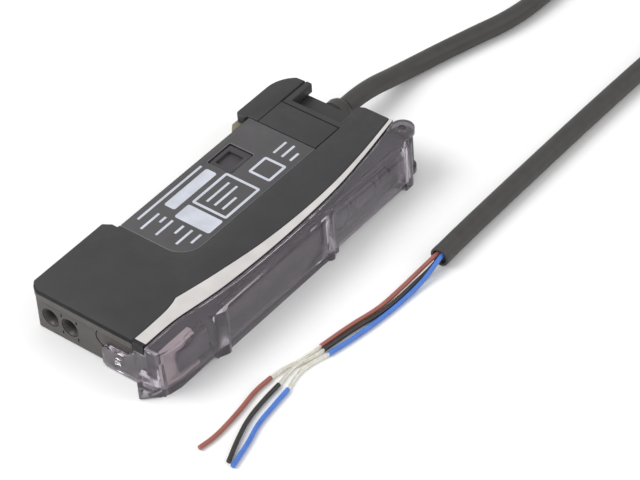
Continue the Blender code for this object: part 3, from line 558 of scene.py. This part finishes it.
def cable_route(wanted):
    """The whole cable's places in metres, its coil just wide enough for the wanted length."""
    low, high = COIL_RADII
    for _ in range(30):
        radius = (low + high) / 2
        places = [at(*p) for p in [*LEAD, *coil(radius), *TAIL]]
        if run(smooth(places, 6)) < wanted:
            low = radius
        else:
            high = radius
    if not COIL_RADII[0] + 0.05 < radius < COIL_RADII[1] - 0.05:
        raise RuntimeError(f"a coil of {radius:.1f} mm can't hold {wanted:.3f} m of cable")
    return places


class AMPLIFIER_OT_stage(bpy.types.Operator):
    """Camera, floor and lights"""

    bl_idname = "amplifier.stage"
    bl_label = "Stage"

    def execute(self, context):
        scene, stage = context.scene, context.scene.amplifier_stage
        camera = shown(bpy.data.objects.new("camera", bpy.data.cameras.new("camera")))
        camera.data.lens = stage.lens
        camera.data.sensor_width = 36.0
        axes = [Vector(CAMERA_RIGHT), -Vector(CAMERA_DOWN), -Vector(CAMERA_AHEAD)]
        camera.matrix_world = Matrix.LocRotScale(
            Vector(CAMERA_PLACE), Matrix(axes).transposed().to_quaternion(), None)
        scene.camera = camera
        rest()
        bpy.ops.mesh.primitive_plane_add(size=6, location=(0, 0, -0.00005))
        floor = bpy.context.object
        floor.name = "floor"
        look = Look("studio_floor", 0.85)
        look.mottled(stage.floor, 0.012, 0.05)
        look.gloss(0.8, 0.9, 0.02)
        floor.data.materials.append(look.material)
        world = bpy.data.worlds.new("studio")
        world.use_nodes = True
        world.node_tree.nodes["Background"].inputs["Strength"].default_value = stage.sky
        world.node_tree.nodes["Background"].inputs["Color"].default_value = (1.0, 1.0, 1.0, 1.0)
        scene.world = world
        scene.view_settings.view_transform = "Standard"
        for name, place, size in LIGHTS:
            light = shown(bpy.data.objects.new(name, bpy.data.lights.new(name, "AREA")))
            light.data.energy = getattr(stage, name)
            light.data.size = size
            light.location = place
            light.rotation_euler = (-Vector(place)).to_track_quat("-Z", "Y").to_euler()
        return {"FINISHED"}


class AMPLIFIER_OT_cable(bpy.types.Operator):
    """The cable from the strain relief through its coil to the stripped end, and the wires"""

    bl_idname = "amplifier.cable"
    bl_label = "Cable"

    def execute(self, context):
        sheath = jacket("sheath", colours().jacket, 0.50)
        cable = line("cable", cable_route(sizes().cable_length), CABLE_D * MM, sheath, 5, 5)
        pieces = [self.sheath_end(sheath), self.tie()]
        for name, (insulated, bare, slug) in WIRES.items():
            skin = jacket(f"{name}_skin", getattr(colours(), name), 0.34)
            pieces += [self.insulation(f"{name}_wire", insulated, skin),
                       self.bare(f"{name}_strands", bare, len(pieces)),
                       self.insulation(f"{name}_slug", slug, skin)]
        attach(cable, "housing")
        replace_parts(cable, "cable_lead", "cable_coil", "cable_tail")
        return {"FINISHED"}

    def sheath_end(self, sheath):
        """The cut end of the sheath, hollow where the wires come out."""
        rest()
        end, before = at(*TAIL[-1]), at(*TAIL[-2])
        bpy.ops.mesh.primitive_cylinder_add(vertices=40, radius=1.87 * MM, depth=1.5 * MM)
        piece = bpy.context.object
        piece.name = piece.data.name = "sheath_end"
        bpy.ops.object.mode_set(mode="EDIT")
        bpy.ops.mesh.select_all(action="DESELECT")
        bpy.ops.object.mode_set(mode="OBJECT")
        for face in piece.data.polygons:
            face.select = face.normal.z > 0.9
        bpy.ops.object.mode_set(mode="EDIT")
        bpy.ops.mesh.inset(thickness=0.5 * MM, depth=0)
        bpy.ops.mesh.inset(thickness=0.02 * MM, depth=-0.85 * MM)
        bpy.ops.object.mode_set(mode="OBJECT")
        eased(piece, 0.12 * MM, 2, 40)
        piece.matrix_world = Matrix.LocRotScale(
            end, Vector((0, 0, 1)).rotation_difference(end - before), None)
        return settled(applied(piece), sheath, "cable_jacket", "housing")

    def tie(self):
        """The band round the coil, with its lock."""
        band = copied("coil_tie_finished", "coil_tie")
        lock = box("lock", *TIE_LOCK)
        piece = joined("coil_tie_finished", [band, lock])
        eased(piece, 0.1 * MM)
        return settled(piece, moulded("tie_nylon", (0.035, 0.035, 0.035), 0.42), "coil_tie", "housing",
                       "coil_tie")

    def insulation(self, name, route, skin):
        wire = line(f"{name}_finished", [at(*p) for p in route], WIRE_D * MM, skin, 4, 8)
        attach(wire, "housing")
        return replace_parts(wire, name)

    def bare(self, name, route, seed):
        """Fine strands laid round each other, a little open in the middle of their run."""
        middle = smooth([at(*p) for p in route], 8)
        tin = metal(f"{name}_tin", (0.88, 0.86, 0.77), 0.38, 0.45)
        curve = bpy.data.curves.new(name, "CURVE")
        curve.dimensions = "3D"
        curve.bevel_depth = sizes().strand / 2
        curve.bevel_resolution = 2
        curve.resolution_u = 3
        curve.use_fill_caps = True
        for strand in range(STRANDS):
            places = []
            for k, place in enumerate(middle):
                t = k / (len(middle) - 1)
                ahead = (middle[min(k + 1, len(middle) - 1)] - middle[max(k - 1, 0)]).normalized()
                side = ahead.cross(Vector((0, 0, 1))).normalized()
                turn = 2 * math.pi * (strand / (STRANDS - 1) + STRAND_TWIST * t) + seed
                bulge = 0.4 + 0.6 * math.sin(strand * STRAND_PHASE + seed) ** 2
                wide = STRAND_REACH + STRAND_BULGE * math.sin(math.pi * t) * bulge
                reach = wide * MM if strand else 0.0
                places.append(place + side * reach * math.cos(turn)
                              + side.cross(ahead) * min(reach, STRAND_LIFT * MM) * math.sin(turn))
            add_spline(curve, places)
        curve.materials.append(tin)
        piece = shown(bpy.data.objects.new(f"{name}_finished", curve))
        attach(piece, "housing")
        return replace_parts(piece, name)


class AMPLIFIER_OT_housing(bpy.types.Operator):
    """Case, lid, latch, end plate, strain relief and the rail claw"""

    bl_idname = "amplifier.housing"
    bl_label = "Housing"

    def execute(self, context):
        dark = moulded("dark_moulding", colours().housing, 0.50)
        grey = moulded("case_moulding", colours().end_face, 0.52)
        sheath = jacket("strain_relief", colours().jacket, 0.48)
        claw = moulded("claw_moulding", colours().claw, 0.42)
        steel = metal("spring_wire", STEEL, 0.30)
        case = refined("case", grey, "end_face_plastic", "housing")
        repainted(case, dark, lambda face: face.normal.z > 0.5 and spot(face)[2] > POCKET_FLOOR)
        lid = copied("case_lid_finished", "case_lid")
        split(lid, at(0, 0, LIP_FOOT), (0, 0, 1))
        eased(lid, sizes().edge)
        settled(lid, dark, "dark_plastic", "housing", "case_lid")
        shade = moulded("shaded_edge", [0.15 * c for c in colours().housing], 0.7)
        repainted(lid, grey, lambda face: face.normal.x < LOOKS_TO_END and spot(face)[0] < LIP_START)
        repainted(lid, shade, lambda face: face.normal.x < LEANS_TO_END and spot(face)[0] < LIP_START
                  and spot(face)[2] > LIP_FOOT)
        latch = refined("latch_housing", dark, "dark_plastic", "housing", sizes().edge)
        for piece in (lid, latch):
            repainted(piece, shade, self.beside_seam)
        refined("end_insert", grey, "end_face_plastic", "housing", sizes().edge)
        refined("cable_gland", sheath, "cable_jacket", "housing")
        refined("rail_claw", claw, "claw_acetal", "claw")
        spring = refined("claw_spring", steel, "spring_steel", "housing", angle=60)
        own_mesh(spring)
        pin = metal("dark_pin", (0.11, 0.11, 0.115), 0.42)
        refined("hinge_pin", pin, "spring_steel", "housing", sizes().edge)
        sleeve = glossy("fibre_sleeve", (0.062, 0.055, 0.051), 0.36)
        refined("emitter_fibre_bush", sleeve, "fibre_bush_plastic", "housing", sizes().edge)
        refined("receiver_fibre_bush", sleeve, "fibre_bush_plastic", "housing", sizes().edge)
        return {"FINISHED"}

    def beside_seam(self, face):
        """Whether a face is the eased edge along the dark seam between the lid and the latch."""
        x, y, z = spot(face)
        eased_edge = z > TOP_FACE and 0.2 < face.normal.z < 0.97
        beside_plate = PLATE_FOOT - EASED_REACH < y < LATCH_SEAM + EASED_REACH
        along_plate = abs(x - PLATE_END) < EASED_REACH and beside_plate
        along_block = abs(y - LATCH_SEAM) < EASED_REACH and x > PLATE_END - EASED_REACH
        return eased_edge and (along_plate or along_block)


class AMPLIFIER_OT_label(bpy.types.Operator):
    """Label film with plain print, and the dark windows of the light link"""

    bl_idname = "amplifier.label"
    bl_label = "Label"

    def execute(self, context):
        film = moulded("film", colours().film, 0.40, 0.000003, 0.0003)
        dark = glossy("dark_window", [1.8 * c for c in colours().window], 0.30)
        sheet = copied("label_film_finished", "label_film")
        self.lengthened(sheet)
        eased(sheet, 0.00007, 2, 40)
        settled(sheet, film, "label_film", "housing", "label_film", angle=40)
        repainted(sheet, moulded("film_edge", [2.6 * c for c in colours().film], 0.45),
                  lambda face: abs(face.normal.z) < 0.97)
        refined("label_side_window", dark, "infrared_window", "housing", sizes().edge)
        refined("far_side_window", dark, "infrared_window", "housing", sizes().edge)
        self.ink()
        return {"FINISHED"}

    def lengthened(self, sheet):
        """Moves the film's end close to the latch."""
        unmarked(sheet, "VERT")
        for vertex in sheet.data.vertices:
            vertex.select = vertex.co.x > at(FILM_END - EASED_REACH, 0).x
        bpy.ops.object.mode_set(mode="EDIT")
        bpy.ops.transform.translate(value=(FILM_REACH * MM, 0, 0))
        bpy.ops.object.mode_set(mode="OBJECT")

    def ink(self):
        """Plain boxes and frames with round corners, and short rules, all of one thin layer."""
        low, high = THICK - 0.02, THICK - 0.005
        fields = []
        for x0, y0, x1, y1 in PRINT_BOXES + PRINT_FRAMES:
            field = box("field", (x0, y0, low), (x1, y1, high))
            round_upright(field, 0.45 * MM, 5, lambda a, b: True)
            fields.append(field)
        for field, (x0, y0, x1, y1) in zip(fields[len(PRINT_BOXES):], PRINT_FRAMES):
            room = box("room", (x0 + FRAME_WIDE, y0 + FRAME_WIDE, low - 1),
                       (x1 - FRAME_WIDE, y1 - FRAME_WIDE, high + 1))
            self.cut(field, room)
        half = RULE_THICK / 2
        rules = [box("rule", (x0, y - half, low), (x1, y + half, high)) for x0, x1, y in PRINT_RULES]
        piece = joined("label_print", [*fields, *rules])
        settled(piece, glossy("ink", colours().ink, 0.45), "label_film", "housing")

    def cut(self, piece, tool):
        step = piece.modifiers.new("cut", "BOOLEAN")
        step.object = tool
        pick(piece)
        bpy.ops.object.modifier_apply(modifier=step.name)
        bpy.data.objects.remove(tool)


class AMPLIFIER_OT_deck(bpy.types.Operator):
    """The light frame and what lies on it under the cover"""

    bl_idname = "amplifier.deck"
    bl_label = "Deck"

    def execute(self, context):
        edge = sizes().edge
        light = moulded("light_moulding", colours().band, 0.46, 0.000004)
        shade = moulded("deck_moulding", (0.045, 0.043, 0.048), 0.45)
        key = moulded("key_moulding", colours().keys, 0.42)
        dark = glossy("display_pane", colours().window, 0.12)
        rim = copied("panel_frame_finished", "panel_frame")
        split(rim, at(BAND_START, 0), (1, 0, 0))
        split(rim, at(LIGHT_RIM[0], 0), (1, 0, 0))
        split(rim, at(0, LIGHT_RIM[1]), (0, 1, 0))
        eased(rim, edge / 2, 1)
        settled(rim, light, "light_band_plastic", "housing", "panel_frame")
        repainted(rim, shade, self.covered)
        tip = moulded("shaded_tip", (0.014, 0.014, 0.015), 0.6)
        repainted(rim, tip, lambda face: spot(face)[0] < BAND_START)
        # Painted light: the rim's upright faces under the cover get a paler copy of the band's colour, so
        # that they look lit through the smoky cover
        painted_light = moulded("pale_rim", (0.86, 0.81, 0.73), 0.5)
        repainted(rim, painted_light, lambda face: face.material_index == 0 and 1 < spot(face)[2] < 9)
        refined("key_plate", key, "key_plastic", "housing", edge)
        refined("display_window", dark, "infrared_window", "housing")
        for node, body in (("tune_button", "tune"), ("up_down_key", "up_down"), ("mode_button", "mode"),
                           ("lock_lever", "lever")):
            refined(node, key, "key_plastic", body)
        refined("fibre_clamp", light, "light_band_plastic", "clamp", edge)
        return {"FINISHED"}

    def covered(self, face):
        """Whether a face of the light frame lies in the shade of the cover."""
        x, y, z = spot(face)
        band = (z > TOP_FACE or z < BOTTOM_FACE) and x > BAND_START
        rim = 0.4 < x < LIGHT_RIM[0] and y < LIGHT_RIM[1] and z > 1.4
        return not (band or rim)


class AMPLIFIER_OT_cover(bpy.types.Operator):
    """The clear smoky cover"""

    bl_idname = "amplifier.cover"
    bl_label = "Cover"

    def execute(self, context):
        cover = copied("protective_cover_finished", "protective_cover")
        round_upright(cover, 0.35 * MM, 4, self.at_tab)
        split(cover, at(EAR_START, 0), (1, 0, 0))
        eased(cover, sizes().edge, 2, 30)
        settled(cover, clear("smoky_clear", colours().cover), "smoke_clear_plastic", "cover",
                "protective_cover", angle=30)
        repainted(cover, clear("smoky_ear", [0.33 * c for c in colours().cover], 0.7),
                  lambda face: spot(face)[0] > EAR_START)
        return {"FINISHED"}

    def at_tab(self, a, b):
        """Whether an edge is one of the long corners at the finger tab's tip."""
        tip = at(TAB_X, TAB_Y)
        return abs(a.z - b.z) > MM and a.x < tip.x and a.y < tip.y


class AMPLIFIER_OT_inside(bpy.types.Operator):
    """Materials of the boards, blocks and switches inside"""

    bl_idname = "amplifier.inside"
    bl_label = "Inside"

    def execute(self, context):
        looks = {
            "circuit_board": board("solder_mask"),
            "black_component": moulded("component_moulding", (0.022, 0.022, 0.024), 0.40),
            "smoke_clear_plastic": clear("chip_resin", (0.75, 0.72, 0.70)),
            "spring_steel": metal("pin_steel", STEEL, 0.28),
        }
        slots = {part["node"]: part["material_slot"] for part in frame["record"]["subparts"]}
        for name, node in frame["nodes"].items():
            if node.hide_render:
                continue
            if slots[name] not in looks:
                raise RuntimeError(f"{name} has no finished material")
            node.material_slots[0].material = looks[slots[name]]
        return {"FINISHED"}


STEPS = (AMPLIFIER_OT_stage, AMPLIFIER_OT_cable, AMPLIFIER_OT_housing, AMPLIFIER_OT_label,
         AMPLIFIER_OT_deck, AMPLIFIER_OT_cover, AMPLIFIER_OT_inside)


class AMPLIFIER_PT_panel(bpy.types.Panel):
    """Lists the steps in the order of making"""

    bl_idname = "AMPLIFIER_PT_panel"
    bl_label = "Sensor amplifier"
    bl_space_type = "VIEW_3D"
    bl_region_type = "UI"
    bl_category = "Amplifier"

    def draw(self, context):
        for step in STEPS:
            self.layout.operator(step.bl_idname)
        for settings in (context.scene.amplifier_colours, context.scene.amplifier_sizes,
                         context.scene.amplifier_stage):
            column = self.layout.column()
            for name in settings.__annotations__:
                column.prop(settings, name)


CLASSES = (AmplifierColours, AmplifierSizes, AmplifierStage, *STEPS, AMPLIFIER_PT_panel)


def register():
    for made in CLASSES:
        bpy.utils.register_class(made)
    bpy.types.Scene.amplifier_colours = bpy.props.PointerProperty(type=AmplifierColours)
    bpy.types.Scene.amplifier_sizes = bpy.props.PointerProperty(type=AmplifierSizes)
    bpy.types.Scene.amplifier_stage = bpy.props.PointerProperty(type=AmplifierStage)


def unregister():
    del bpy.types.Scene.amplifier_stage
    del bpy.types.Scene.amplifier_sizes
    del bpy.types.Scene.amplifier_colours
    for made in reversed(CLASSES):
        bpy.utils.unregister_class(made)


def main():
    register()
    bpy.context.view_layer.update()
    bpy.ops.amplifier.stage()
    bpy.ops.amplifier.cable()
    bpy.ops.amplifier.housing()
    bpy.ops.amplifier.label()
    bpy.ops.amplifier.deck()
    bpy.ops.amplifier.cover()
    bpy.ops.amplifier.inside()


if __name__ == "__main__":
    main()
